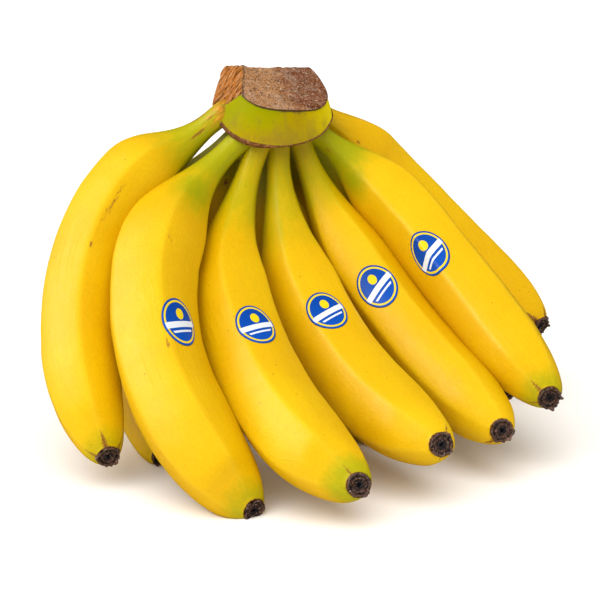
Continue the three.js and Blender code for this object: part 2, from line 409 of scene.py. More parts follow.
@dataclass(frozen=True)
class SkinFinish:
    """Ripe banana skin: golden, with green necks, a painted highlight along the ridges, specks and
    brown scars.

    Scales are those of noise over the piece in metres, depths are in metres, and a share says how
    far a coat covers the one below. The levels of an eased step are levels of the noise it reads.
    """

    golden: Colour = tone(206, 159, 1)
    lemon: Colour = tone(209, 167, 3)
    # Painted highlight: the pale colour laid along the ridge crests, standing in for light catching
    # them.
    pale: Colour = tone(216, 186, 40)
    green: Colour = tone(140, 144, 2)
    scar: Colour = tone(132, 82, 28)
    dark_scar: Colour = tone(62, 38, 26)
    speck: Colour = tone(140, 86, 8)
    fibre: Colour = tone(178, 118, 20)
    fibre_dark: Colour = tone(106, 66, 24)
    fibre_pale: Colour = tone(204, 158, 44)
    specular: float = 0.14
    least_roughness: float = 0.38
    most_roughness: float = 0.49
    gloss_scale: float = 240.0
    cloud_scale: float = 24.0
    grain_scale: float = 700.0
    streak_share: float = 0.4
    least_shade: float = 0.93
    most_shade: float = 1.04
    ridge_highlight_share: float = 0.16
    green_share: float = 0.92
    patch_scale: float = 38.0
    patch_strength: float = 0.11
    speck_scale: float = 230.0
    speck_size: float = 0.08
    speck_rarity: float = 0.72
    speck_share: float = 0.8
    speck_group_scale: float = 30.0
    pore_scale: float = 1100.0
    pore_depth: float = 0.00016
    crease_width: float = 0.012
    crease_depth: float = 0.00007
    crease_patch_scale: float = 20.0
    thread_depth: float = 0.00004

    def make(self) -> bpy.types.Material:
        """Builds the material.

        Returns:
            The material.
        """
        paint = Paint("banana_skin")
        colour = self.ground(paint)
        for coat in (self.greens, self.specks, self.scars, self.fibres):
            colour = coat(paint, colour)
        limits = (self.least_roughness, self.most_roughness)
        roughness = paint.eased(paint.noise(self.gloss_scale), 0.2, 0.8, *limits)
        relief = paint.bump(paint.strands(0.9, 0.04), self.thread_depth)
        relief = paint.bump(self.creases(paint), self.crease_depth, relief)
        relief = paint.bump(paint.noise(self.pore_scale, 3.0, 0.6), self.pore_depth, relief)
        return paint.finish(colour, roughness, self.specular, relief)

    def creases(self, paint: Paint) -> Value:
        """Returns the thin raised lines that run along the fruit in some places.

        Args:
            paint: The material in hand.

        Returns:
            How high the skin stands, from 0 to 1.
        """
        off = paint.off(paint.strands(0.16, 0.008, 1.5), 0.5)
        patches = paint.eased(paint.noise(self.crease_patch_scale), 0.46, 0.6)
        return paint.times(paint.eased(off, 0.0, self.crease_width, 1.0, 0.0), patches)

    def ground(self, paint: Paint) -> Value:
        """Adds the yellow with its clouds, its faint lengthwise streaks and a painted highlight
        along its ridges.

        Args:
            paint: The material in hand.

        Returns:
            The colour.
        """
        colour = paint.coats(
            self.golden,
            (paint.eased(paint.noise(self.cloud_scale, 3.0), 0.35, 0.7), self.lemon),
            # Painted highlight: a pale line along every ridge.
            (paint.times(paint.attribute("ridge"), self.ridge_highlight_share), self.pale),
        )
        streaks = paint.times(paint.strands(1.3, 0.05, 3.0, 0.6), self.streak_share)
        grain = paint.plus(streaks, paint.noise(self.grain_scale, 4.0, 0.75))
        shade = paint.eased(grain, 0.4, 1.0, self.least_shade, self.most_shade)
        grey = paint.node("CombineColor", dict.fromkeys(("Red", "Green", "Blue"), shade))
        return paint.mix(1.0, colour, grey.outputs["Color"], "MULTIPLY")

    def greens(self, paint: Paint, colour: Value) -> Value:
        """Adds the green of the necks and of the greener ends, in soft lengthwise patches.

        Args:
            paint: The material in hand.
            colour: The colour below.

        Returns:
            The colour with its green.
        """
        clouds = paint.noise(self.patch_scale, 3.0)
        patches = paint.plus(clouds, paint.strands(0.5, 0.08, 3.0))
        uneven = paint.eased(patches, 0.6, 1.4, -self.patch_strength, self.patch_strength)
        greenness = paint.plus(paint.attribute("green"), uneven)
        share = paint.eased(greenness, 0.08, 1.0, 0.0, self.green_share)
        return paint.mix(share, colour, self.green)

    def specks(self, paint: Paint, colour: Value) -> Value:
        """Adds sparse brown specks, thicker in some places.

        Args:
            paint: The material in hand.
            colour: The colour below.

        Returns:
            The colour with its specks.
        """
        cells = paint.node("TexVoronoi", {"Vector": paint.place, "Scale": self.speck_scale})
        near = paint.math("LESS_THAN", cells.outputs["Distance"], self.speck_size)
        draw = paint.node("SeparateColor", {"Color": cells.outputs["Color"]}).outputs["Red"]
        chosen = paint.math("GREATER_THAN", draw, self.speck_rarity)
        grouped = paint.eased(paint.noise(self.speck_group_scale), 0.44, 0.6, 0.15, 1.0)
        share = paint.times(paint.times(near, chosen), grouped)
        return paint.mix(paint.times(share, self.speck_share), colour, self.speck)

    def scars(self, paint: Paint, colour: Value) -> Value:
        """Adds brown scars where the mesh says, with ragged edges along the fruit.

        Args:
            paint: The material in hand.
            colour: The colour below.

        Returns:
            The colour with its scars.
        """
        edge = paint.eased(paint.strands(2.2, 0.35, 4.0, 0.65), 0.3, 0.7, -0.28, 0.28)
        scarred = paint.plus(paint.attribute("scar"), edge)
        return paint.coats(
            colour,
            (paint.eased(scarred, 0.34, 0.62, 0.0, 0.85), self.scar),
            (paint.eased(scarred, 0.8, 1.05), self.dark_scar),
        )

    def fibres(self, paint: Paint, colour: Value) -> Value:
        """Adds the torn orange-brown fibres that run from the crown onto a neck.

        Args:
            paint: The material in hand.
            colour: The colour below.

        Returns:
            The colour with its fibres.
        """
        strands = paint.strands(1.1, 0.12, 4.0, 0.65)
        edge = paint.eased(strands, 0.3, 0.7, -0.45, 0.3)
        share = paint.eased(paint.plus(paint.attribute("torn"), edge), 0.35, 0.75)
        fibre = paint.coats(
            self.fibre_dark,
            (paint.eased(strands, 0.4, 0.55), self.fibre),
            (paint.eased(strands, 0.55, 0.66), self.fibre_pale),
        )
        return paint.mix(share, colour, fibre)


@dataclass(frozen=True)
class TipFinish:
    """The dry, dark remains of the flower at a banana's tip."""

    dark: Colour = tone(28, 20, 18)
    brown: Colour = tone(78, 55, 45)
    rim: Colour = tone(98, 72, 60)
    core: Colour = tone(24, 24, 30)
    orange: Colour = tone(104, 62, 28)
    light: Colour = tone(186, 158, 132)
    roughness: float = 0.62
    specular: float = 0.3
    clump_scale: float = 480.0
    clump_depth: float = 0.0009
    warm_scale: float = 260.0
    glint_scale: float = 1300.0

    def make(self) -> bpy.types.Material:
        """Builds the material.

        Returns:
            The material.
        """
        paint = Paint("dry_tip")
        clumps = paint.noise(self.clump_scale, 4.0, 0.7)
        glints = paint.noise(self.glint_scale, 2.0, 0.6)
        crest = paint.times(paint.attribute("crest"), paint.eased(clumps, 0.3, 0.6))
        colour = paint.coats(
            self.dark,
            (paint.eased(clumps, 0.38, 0.66), self.brown),
            (paint.eased(paint.noise(self.warm_scale), 0.58, 0.7, 0.0, 0.45), self.orange),
            (crest, self.rim),
            (paint.eased(paint.attribute("reach"), 0.5, 0.16), self.core),
            (paint.eased(glints, 0.62, 0.72, 0.0, 0.8), self.light),
        )
        relief = paint.bump(clumps, self.clump_depth)
        return paint.finish(colour, self.roughness, self.specular, relief)


@dataclass(frozen=True)
class CrownFinish:
    """The crown: green flanks, a brown rim and a dry, fibrous cut."""

    green: Colour = tone(128, 134, 2)
    olive: Colour = tone(150, 128, 2)
    # Painted light: a lighter olive that stands in for light on the flank's right side.
    painted_light_olive: Colour = tone(214, 194, 2)
    stain: Colour = tone(112, 92, 40)
    rim: Colour = tone(84, 50, 24)
    cork: Colour = tone(170, 120, 76)
    dark: Colour = tone(50, 30, 22)
    grey: Colour = tone(190, 164, 140)
    russet: Colour = tone(114, 60, 30)
    lip: Colour = tone(62, 44, 38)
    orange: Colour = tone(190, 116, 48)
    tan: Colour = tone(206, 156, 114)
    specular: float = 0.01
    fresh_roughness: float = 0.45
    dry_roughness: float = 0.85
    thread_scale: float = 620.0
    thread_depth: float = 0.0009
    strand_scale: tuple[float, float, float] = (0.16, 1.5, 0.16)
    strand_depth: float = 0.0014
    ragged_scale: float = 420.0
    cloud_scale: float = 55.0
    cloud_share: float = 0.5
    stain_scale: float = 210.0
    stain_stretch: tuple[float, float, float] = (1.0, 1.0, 0.45)
    low_stains: float = 0.3
    dot_scale: float = 900.0
    patch_scale: float = 62.0
    right_patches: float = 0.45
    fade_scale: float = 95.0
    pale_thread_scale: float = 520.0

    def make(self) -> bpy.types.Material:
        """Builds the material.

        Returns:
            The material.
        """
        paint = Paint("crown")
        threads = paint.noise(self.thread_scale, 5.0, 0.75, 1.5)
        strands = paint.noise(1.0, 4.0, 0.65, at=paint.scaled(paint.flow(), self.strand_scale))
        ragged = paint.eased(paint.noise(self.ragged_scale, 4.0, 0.7), 0.3, 0.7, -0.22, 0.22)
        edges = {
            "cut": (0.42, 0.56),
            "side": (0.42, 0.6),
            "rim": (0.45, 0.6),
            "lip": (0.4, 0.85, 0.0, 0.8),
        }
        share = {
            name: paint.eased(paint.plus(paint.attribute(name), ragged), *edge)
            for name, edge in edges.items()
        }
        bark = paint.mix(paint.eased(threads, 0.48, 0.62, 0.0, 0.6), self.rim, self.cork)
        colour = paint.coats(
            self.flank(paint),
            (share["rim"], bark),
            (share["side"], self.side(paint, strands)),
            (share["cut"], self.cut(paint, threads)),
            (share["lip"], self.lip),
        )
        dry = paint.math("MAXIMUM", share["cut"], share["side"])
        roughness = paint.eased(dry, 0.0, 1.0, self.fresh_roughness, self.dry_roughness)
        relief = paint.bump(paint.times(strands, share["side"]), self.strand_depth)
        relief = paint.bump(paint.times(threads, dry), self.thread_depth, relief)
        return paint.finish(colour, roughness, self.specular, relief)

    def flank(self, paint: Paint) -> Value:
        """Adds the green flank, more yellow in its middle, painted lighter and more yellow on its
        right side to stand in for light, with faint stains and dots.

        Args:
            paint: The material in hand.

        Returns:
            The colour.
        """
        warm = paint.attribute("warm")
        clouds = paint.eased(paint.noise(self.cloud_scale, 3.0), 0.3, 0.7, 0.0, self.cloud_share)
        stretched = paint.scaled(paint.place, self.stain_stretch)
        streaks = paint.noise(self.stain_scale, 5.0, 0.7, at=stretched)
        stains = paint.plus(streaks, paint.times(warm, self.low_stains))
        return paint.coats(
            self.green,
            (paint.eased(paint.plus(clouds, warm), 0.2, 1.2), self.olive),
            # Painted light: the flank gets lighter towards its right, as if more light fell there.
            (paint.eased(paint.attribute("right"), 0.1, 0.9), self.painted_light_olive),
            (paint.eased(stains, 0.62, 0.92, 0.0, 0.45), self.stain),
            (paint.eased(paint.noise(self.dot_scale), 0.64, 0.74, 0.0, 0.3), self.russet),
        )

    def cut(self, paint: Paint, threads: Value) -> Value:
        """Adds the mottled brown of the sawn face, with its pale threads and darker pits.

        Args:
            paint: The material in hand.
            threads: The noise of its threads.

        Returns:
            The colour.
        """
        right = paint.times(paint.attribute("right"), self.right_patches)
        patches = paint.plus(paint.noise(self.patch_scale, 5.0, 0.65), right)
        faded = paint.noise(self.fade_scale, 4.0, 0.7)
        pale = paint.noise(self.pale_thread_scale, 4.0, 0.75, 3.0)
        return paint.coats(
            self.cork,
            (paint.eased(patches, 0.48, 0.76), self.russet),
            (paint.eased(faded, 0.5, 0.64, 0.0, 0.3), self.grey),
            (paint.eased(threads, 0.4, 0.52, 0.85, 0.0), self.dark),
            (paint.eased(pale, 0.53, 0.61, 0.0, 0.8), self.grey),
        )

    def side(self, paint: Paint, strands: Value) -> Value:
        """Adds the orange-brown torn strands of the left end.

        Args:
            paint: The material in hand.
            strands: The noise of its strands.

        Returns:
            The colour.
        """
        return paint.coats(
            self.dark,
            (paint.eased(strands, 0.37, 0.49), self.orange),
            (paint.eased(strands, 0.51, 0.6, 0.0, 0.9), self.tan),
        )


@dataclass(frozen=True)
class Band:
    """A plain slanting band of a print, in shares of the sticker's half size."""

    middle: float
    half: float
    end: float


@dataclass(frozen=True)
class StickerFinish:
    """Printed paper: a blue oval with a thin yellow ring, a yellow spot and plain white bands."""

    blue: Colour = tone(8, 70, 160)
    deep_blue: Colour = tone(6, 60, 142)
    white: Colour = tone(206, 210, 214)
    yellow: Colour = tone(214, 186, 20)
    roughness: float = 0.34
    specular: float = 0.1
    paper_scale: float = 700.0
    paper_depth: float = 0.00004
    ring: float = 0.86
    ring_half: float = 0.042
    spot_along: float = -0.34
    spot_reach: float = 0.23
    slant: float = 0.3
    bands: tuple[Band, ...] = (Band(0.1, 0.13, 0.91), Band(0.4, 0.045, 0.72))

    def make(self) -> bpy.types.Material:
        """Builds the material.

        Returns:
            The material.
        """
        paint = Paint("sticker_paper")
        axes = paint.node("SeparateXYZ", {"Vector": paint.flow()}).outputs
        across, along = axes["X"], axes["Y"]
        reach = self.distance(paint, across, along)
        off_spot = self.distance(paint, across, paint.math("SUBTRACT", along, self.spot_along))
        slanting = paint.plus(along, paint.times(across, self.slant))
        colour = paint.coats(
            self.deep_blue,
            (paint.eased(along, -0.9, 0.9), self.blue),
            (paint.math("LESS_THAN", off_spot, self.spot_reach), self.yellow),
            (self.line(paint, reach, self.ring, self.ring_half), self.yellow),
        )
        for band in self.bands:
            inside = paint.math("LESS_THAN", reach, band.end)
            line = self.line(paint, slanting, band.middle, band.half)
            colour = paint.mix(paint.times(line, inside), colour, self.white)
        relief = paint.bump(paint.noise(self.paper_scale, 3.0), self.paper_depth)
        return paint.finish(colour, self.roughness, self.specular, relief)

    def distance(self, paint: Paint, across: Value, along: Value) -> Value:
        """Returns how far a place of the print is from a point."""
        squares = paint.plus(paint.times(across, across), paint.times(along, along))
        return paint.math("SQRT", squares)

    def line(self, paint: Paint, value: Value, middle: float, half: float) -> Value:
        """Returns 1 within half a width of the middle, and 0 elsewhere."""
        return paint.math("LESS_THAN", paint.off(value, middle), half)


class MarkKind(Enum):
    """What a mark on the skin is."""

    SCAR = "scar"
    GREEN = "green"
    TORN = "torn"


@dataclass(frozen=True)
class Mark:
    """A long oval mark on a banana's skin, in mm along and degrees round it."""

    along: float
    around: float
    half_length: float
    half_width: float
    strength: float = 1.0
    kind: MarkKind = MarkKind.SCAR

    def at(self, along: float, angle: float, radius: float) -> float:
        """Returns the mark's strength at a place on the skin.

        Args:
            along: Distance from the banana's root.
            angle: Angle round the section, in radians.
            radius: Radius of the body there.

        Returns:
            The strength in its middle, falling to 0 at its edge.
        """
        turn = math.remainder(angle - math.radians(self.around), math.tau)
        off = math.hypot((along - self.along) / self.half_length, turn * radius / self.half_width)
        return self.strength * max(0.0, 1.0 - off)


@dataclass(frozen=True)
class Station:
    """A place on a banana's centre line with its three directions."""

    point: Vector
    along: Vector
    across: Vector
    inward: Vector

    def off(self, radius: float, angle: float) -> Vector:
        """Returns a place at a radius and an angle round the section."""
        aside, inside = radius * math.cos(angle), radius * math.sin(angle)
        return self.point + self.across * aside + self.inward * inside


@dataclass(frozen=True)
class BananaPlan:
    """One banana's place in the hand and its shape.

    Attributes:
        name: The banana's name.
        right: How far to the right of the crown's centre its root is.
        forward: How far in front of it.
        down: How far below it.
        fan: Its first direction, to the right of straight down.
        lean: How far that direction leans forwards.
        roll: Turn of the plane that it bends in.
        bend: How far it bends forwards from root to tip.
        early: Share of the bend that comes in its first half.
        neck_turn: Sideways turn of its neck.
        length: Length of its centre line.
        girth: Thickness of its body.
        shoulder: Share of the length at which the body is full.
        ridge: Where its first ridge is, round the section.
        tip_turn: Sideways turn of its last part.
        tip_bend: Further bend of its last part.
        lift: How far its end face tilts up.
        swing: How far its end face tilts sideways.
        hook: How far its neck rises before it falls.
        green_reach: How far the green runs down from the root.
        green_neck: How green the neck is.
        green_tip: How green the tip is.
        marks: The marks on its skin.
    """

    name: str
    right: float
    forward: float
    down: float
    fan: float
    lean: float
    roll: float
    bend: float
    early: float
    neck_turn: float
    length: float
    girth: float
    shoulder: float
    ridge: float
    tip_turn: float
    tip_bend: float
    lift: float
    swing: float
    hook: float = 0.0
    green_reach: float = 60.0
    green_neck: float = 0.85
    green_tip: float = 0.0
    marks: tuple[Mark, ...] = ()


CROWN_CENTRE = Vector((4.95, 51.55, 146.0))

# The front row with the two ends, from left to right, and then the back row. Each plan gives the
# root's place, the first angles, the bends, the body's sizes and ridge, and the tip's angles.
PLANS = (
    BananaPlan("left", -18, -1, 0.5, -79, -16, -44, 101, 0.2, -17, 202, 32.6, 0.29, 4, -4, 0, -3,
               28, hook=4.4, green_neck=0.8, green_tip=0.62,
               marks=(Mark(80, 16, 20, 1.1, 0.8), Mark(92, 12, 14, 0.9, 0.7), Mark(106, 8, 3, 1.2),
                      Mark(0, 5, 24, 19, 1.2, MarkKind.TORN), Mark(17, -48, 8, 1.6, 0.95),
                      Mark(21, 30, 8, 1.3, 0.95), Mark(13, 8, 7, 1.0, 0.75),
                      Mark(120, -110, 8, 1.1, 0.8), Mark(66, -150, 5, 1.4, 0.8))),
    BananaPlan("front1", -15, 6.7, 7.2, -74, 10, -42, 101, 0.05, -30, 217, 37.4, 0.36, 0, -5, 0,
               -14, 34, green_tip=0.62,
               marks=(Mark(84, 6, 8, 1.4, 0.55), Mark(88, 10, 5, 1.0, 0.6),
                      Mark(141, -3, 6, 1.2, 0.8), Mark(118, -2, 6, 0.9, 0.65),
                      Mark(130, -4, 8, 0.8, 0.6), Mark(45, 25, 30, 22, 1.0, MarkKind.GREEN))),
    BananaPlan("front2", -10, 8, 8, -40, 4, -14, 81, 0.4, -18, 215, 35.8, 0.42, 22, -4.7, 6.7, -3,
               36, green_neck=0.6, green_reach=84, green_tip=0.8),
    BananaPlan("front3", -1.5, 7, 8, -5, 4, -1, 85, 0.3, -2, 203, 34.6, 0.42, 47, -5.2, 2.6, 10, 24,
               green_neck=0.62, green_reach=84, green_tip=0.2),
    BananaPlan("front4", 8.5, 4.5, 7, 20, 5, 6, 78, 0.3, 3, 195, 32, 0.4, 34, -0.8, -2.6, 20, 10,
               green_neck=0.62, green_reach=66),
    BananaPlan("front5", 13, 5, 6, 52, 9, 25, 65, 0.8, 2, 189, 32, 0.3, 24, -2.5, -3, 26, -7,
               green_neck=1.0, green_reach=52, green_tip=0.7,
               marks=(Mark(36, 70, 20, 15, 1.0, MarkKind.GREEN), Mark(17, 75, 2.4, 1.2, 0.9))),
    BananaPlan("right", 20, -3, 0, 53, -28, 16, 90, 0.3, -8, 173, 30.6, 0.3, 20, -6, -5, 8, 0,
               green_neck=0.35, green_reach=40,
               marks=(Mark(34, 100, 2.5, 1.2, 0.8), Mark(88, -95, 8, 1.0, 0.75))),
    BananaPlan("back0", -12, -7, 11, -50, -25, -31, 106, 0, 0, 178, 34, 0.36, 10, 21, -18.7, 14, 8,
               green_tip=0.4, marks=(Mark(92, -95, 6, 1.3, 0.8),)),
    BananaPlan("back1", -6, -12, 8, -14, -52, 0, 106, 0.3, 0, 164, 34, 0.36, 40, 0, 0, 14, 8,
               marks=(Mark(34, 90, 3.5, 2.0), Mark(78, -80, 9, 1.1, 0.85))),
    BananaPlan("back2", 0, -7, 5.3, 6, -14, -2, 91, 0, 0, 176, 34.4, 0.36, 60, 0, 0, 14, 8,
               marks=(Mark(62, -104, 10, 1.0, 0.75), Mark(110, -60, 3, 1.3, 0.9))),
    BananaPlan("back3", 13, -13, 11.6, 16, -42, -18, 85, 0.3, 0, 166, 33, 0.36, 30, 0, 0, 14, 8,
               marks=(Mark(96, -72, 5, 1.2, 0.85),)),
    BananaPlan("back4", 16, -6, 8, 31, -13, 4, 79, 0.4, 0, 176, 29.5, 0.36, 15, 0, 0, 14, 8,
               green_tip=0.6),
)


@dataclass
class Banana:
    """One banana: its skin and the dry remains of the flower at its tip.

    Lengths run from the root, or back from the end for what belongs to the tip. Where a turn, a
    fade or a taper starts or ends is a share of the banana's length.
    """

    plan: BananaPlan
    neck_radius: float = 5.4
    neck_end: float = 0.07
    root_flare: float = 1.2
    root_share: float = 0.5
    root_length: float = 9.0
    root_flare_length: float = 16.0
    tip_radius: float = 5.2
    taper_length: float = 0.235
    taper_onset: float = 2.3
    taper_bluntness: float = 0.66
    stub_length: float = 1.5
    neck_turn_end: float = 0.3
    early_end: float = 0.5
    tip_turn_start: float = 0.7
    tilt_length: float = 24.0
    hook_length: float = 50.0
    hook_dip: float = 3.0
    ridges: int = 5
    ridge_strength: float = 0.56
    ridge_softness: float = 0.036
    ridge_line: float = 1.1
    ridge_line_start: float = 20.0
    ridge_line_full: float = 50.0
    ridge_green: float = 0.12
    ridge_green_start: float = 60.0
    ridge_green_end: float = 130.0
    neck_green_start: float = 0.35
    tip_green_start: float = 1.0
    tip_green_end: float = 13.0
    tip_scar_length: float = 0.9
    least_ridge: float = 0.35
    ridge_fade: float = 0.3
    ridge_seed: float = 7.3
    mean_facet: float = 1.073
    fade_start: float = 0.42
    fade_end: float = 0.8
    unevenness: float = 0.4
    lump_size: float = 26.0
    dent_size: float = 9.0
    dent_share: float = 0.4
    skin_end: float = 0.5
    funnel_depth: float = 5.0
    spur_length: float = 5.0
    spur_half: float = 1.6
    sides: int = 100
    rows: int = 214
    crowding: float = 1.15
    spine_step: float = 1.0
    tip_sides: int = 72
    tip_rows: int = 60
    tip_hidden: float = 0.2
    tip_rim: float = 0.4
    tip_rings: float = 2.6
    tip_ring_height: float = 0.3
    tip_hole_depth: float = 1.3
    tip_lobes: tuple[tuple[float, float], ...] = ((1.3, 0.14), (3.5, 0.09))
    tip_clumps: tuple[tuple[float, float], ...] = ((0.8, 0.55), (2.2, 0.35))
    corner_width: float = 0.13
    corner_reach: float = 0.26
    corner_rise: float = 1.1
    start: Vector = field(init=False)
    axis: Vector = field(init=False)
    inner: Vector = field(init=False)
    distances: list[float] = field(init=False)
    stations: list[Station] = field(init=False)
    end: Station = field(init=False)

    def __post_init__(self) -> None:
        """Works out the bending plane and the centre line."""
        fan, lean = math.radians(self.plan.fan), math.radians(self.plan.lean)
        spread = Vector((math.sin(fan), 0.0, -math.cos(fan)))
        self.start = spread * math.cos(lean) + FORWARD * math.sin(lean)
        self.axis = self.start.cross(FORWARD).normalized()
        self.axis.rotate(Quaternion(self.start, math.radians(self.plan.roll)))
        self.inner = self.axis.cross(self.start)
        skin = self.plan.length - self.skin_end
        count = self.rows - 1
        shares = [i / (count - 1) for i in range(count)]
        self.distances = [skin * (1.0 - (1.0 - s) ** self.crowding) for s in shares]
        self.stations = self.spine(self.distances)
        self.end = self.spine([self.plan.length])[0]

    def body_radius(self, along: float) -> float:
        """Returns the radius of the smooth body at a distance from the root.

        Args:
            along: That distance.

        Returns:
            The radius.
        """
        plan = self.plan
        body = plan.girth / 2.0
        swell = smoothstep(along, self.neck_end * plan.length, plan.shoulder * plan.length)
        swollen = self.neck_radius + (body - self.neck_radius) * swell
        to_stub = plan.length - self.stub_length - along
        taper = clamp(1.0 - to_stub / (self.taper_length * plan.length))
        narrowed = (1.0 - taper ** self.taper_onset) ** self.taper_bluntness
        tapered = self.tip_radius + (body - self.tip_radius) * narrowed
        flare = self.root_flare * clamp(1.0 - along / self.root_flare_length) ** 2
        hidden = self.root_share if plan.hook else 1.0
        root = lerp(hidden, 1.0, smoothstep(along, 0.0, self.root_length))
        return (min(swollen, tapered) + flare) * root

    def ridge_turns(self, angle: float) -> float:
        """Returns an angle counted in ridges from the first one."""
        return (angle - math.radians(self.plan.ridge)) * self.ridges / math.tau

    def ridge_phase(self, angle: float) -> float:
        """Returns how far an angle is from the nearest ridge: 0 on it, 0.5 midway to the next."""
        turns = self.ridge_turns(angle)
        return abs(turns - round(turns))

    def ridge_chance(self, angle: float) -> float:
        """Returns a number from 0 to 1 that belongs to the nearest ridge of this banana."""
        ridge = round(self.ridge_turns(angle)) % self.ridges
        return noise.cell(Vector((self.ridge_seed * ridge, self.plan.length, self.plan.fan)))

    def section(self, angle: float) -> float:
        """Returns how far the section stands out from its mean circle, as a share of the radius.

        Args:
            angle: Angle round the section.

        Returns:
            The share, below 0 on the flats.
        """
        phase = math.hypot(self.ridge_phase(angle), self.ridge_softness)
        facet = 1.0 / math.cos(math.tau / self.ridges * max(0.0, 0.5 - phase))
        return self.ridge_strength * (facet - self.mean_facet)

    def skin_radius(self, along: float, angle: float) -> float:
        """Returns the radius of the skin at a distance from the root and an angle round it.

        Args:
            along: That distance.
            angle: That angle.

        Returns:
            The radius.
        """
        radius = self.body_radius(along)
        fullness = smoothstep(radius, self.neck_radius, self.plan.girth / 2.0)
        worn = smoothstep(along / self.plan.length, self.fade_start, self.fade_end)
        strength = lerp(self.least_ridge, 1.0, fullness) * (1.0 - self.ridge_fade * worn)
        return radius * (1.0 + strength * self.section(angle))

    def directions(self, distance: float) -> tuple[Vector, Vector, Vector]:
        """Returns the directions along, across and inwards at a distance from the root.

        Args:
            distance: That distance.

        Returns:
            The three directions.
        """
        plan = self.plan
        share = clamp(distance / plan.length)
        early = plan.early * smoothstep(share, 0.0, self.early_end)
        late = smoothstep(share, self.tip_turn_start, 1.0)
        turn = math.radians(plan.bend) * ((1.0 - plan.early) * share + early)
        turn += math.radians(plan.tip_bend) * late
        sideways = math.radians(plan.neck_turn) * (1.0 - smoothstep(share, 0.0, self.neck_turn_end))
        sideways += math.radians(plan.tip_turn) * late
        flat = self.start * math.cos(turn) + self.inner * math.sin(turn)
        inward = self.axis.cross(flat)
        along = flat * math.cos(sideways) + self.axis * math.sin(sideways)
        return along, along.cross(inward), inward

    def tilted(self, distance: float) -> tuple[Vector, Vector, Vector]:
        """Returns the same directions with the section tilted towards the end face.

        Args:
            distance: The distance from the root.

        Returns:
            The three directions.
        """
        along, across, inward = self.directions(distance)
        stub = self.plan.length - self.stub_length
        share = smoothstep(distance, stub - self.tilt_length, stub)
        swing = Quaternion(inward, -math.radians(self.plan.swing) * share)
        tilt = swing @ Quaternion(across, math.radians(self.plan.lift) * share)
        return tilt @ along, tilt @ across, tilt @ inward

    def spine(self, distances: list[float]) -> list[Station]:
        """Walks the centre line.

        Args:
            distances: Distances from the root, in rising order.

        Returns:
            A station at each of them.
        """
        plan = self.plan
        point = CROWN_CENTRE + Vector((plan.right, -plan.forward, -plan.down))
        reached = 0.0
        stations = []
        for distance in distances:
            steps = max(1, math.ceil((distance - reached) / self.spine_step))
            step = (distance - reached) / steps
            for _ in range(steps):
                point = point + self.directions(reached + step / 2.0)[0] * step
                reached += step
            settled = smoothstep(distance, 0.0, self.hook_length)
            raised = plan.hook * (1.0 - settled) * (1.0 - self.hook_dip * settled)
            stations.append(Station(point + Vector((0.0, 0.0, raised)), *self.tilted(distance)))
        return stations

    def spur(self, angle: float, off_ridge: float, left: float) -> float:
        """Returns how brown the short wedges are that run up the ridges from the dry tip.

        Args:
            angle: Angle round the section.
            off_ridge: Distance from the nearest ridge.
            left: Distance to the end.

        Returns:
            The strength, 1 in the wedge's middle.
        """
        chance = self.ridge_chance(angle)
        length = self.spur_length * (0.5 + chance)
        half = self.spur_half * (0.5 + chance) * max(0.0, 1.0 - left / length)
        return clamp(1.0 - 0.6 * off_ridge / half) * (0.55 + 0.5 * chance) if half > 0.05 else 0.0

    def fields(self, along: float, angle: float, radius: float) -> tuple[float, ...]:
        """Works out what the skin is like at a place.

        Args:
            along: Distance from the root.
            angle: Angle round the section.
            radius: Radius of the body there.

        Returns:
            How near a ridge is, and how green, how scarred and how torn the skin is.
        """
        plan = self.plan
        left = plan.length - self.skin_end - along
        off_ridge = self.ridge_phase(angle) * math.tau / self.ridges * radius
        ridge = math.exp(-((off_ridge / self.ridge_line) ** 2))
        ridge *= smoothstep(along, self.ridge_line_start, self.ridge_line_full)
        reach = plan.green_reach
        green = plan.green_neck * smoothstep(along, reach, self.neck_green_start * reach)
        green += plan.green_tip * smoothstep(left, self.tip_green_end, self.tip_green_start)
        ridge_green = smoothstep(along, self.ridge_green_end, self.ridge_green_start)
        green += self.ridge_green * ridge * ridge_green
        scar = max(self.spur(angle, off_ridge, left), smoothstep(left, self.tip_scar_length, 0.0))
        coats = {MarkKind.GREEN: green, MarkKind.SCAR: scar, MarkKind.TORN: 0.0}
        for mark in plan.marks:
            coats[mark.kind] = max(coats[mark.kind], mark.at(along, angle, radius))
        return ridge, clamp(coats[MarkKind.GREEN]), coats[MarkKind.SCAR], coats[MarkKind.TORN]

    def skin_spot(self, row: int, angle: float) -> Spot:
        """Gives a skin vertex's place and values from its row and angle.

        Args:
            row: Its row, from the root.
            angle: Its angle round the section.

        Returns:
            The place, the place on the straightened banana, and the values.
        """
        index = int(clamp(row - 1, 0, len(self.stations) - 1))
        station, along = self.stations[index], self.distances[index]
        closed = row in (0, self.rows)
        radius = 0.0 if closed else self.skin_radius(along, angle)
        place = station.off(radius, angle)
        if row == self.rows:
            place = place - station.along * self.funnel_depth
        if not closed:
            lump = noise.noise(place / self.lump_size)
            lump += self.dent_share * noise.noise(place / self.dent_size)
            fullness = smoothstep(radius, self.neck_radius, self.plan.girth / 2.0)
            place = station.off(radius + self.unevenness * fullness * lump, angle)
        place.z = max(place.z, TABLE_HEIGHT)
        body = self.body_radius(along)
        straight = Vector((body * math.cos(angle), body * math.sin(angle), along))
        return place, straight, self.fields(along, angle, body)

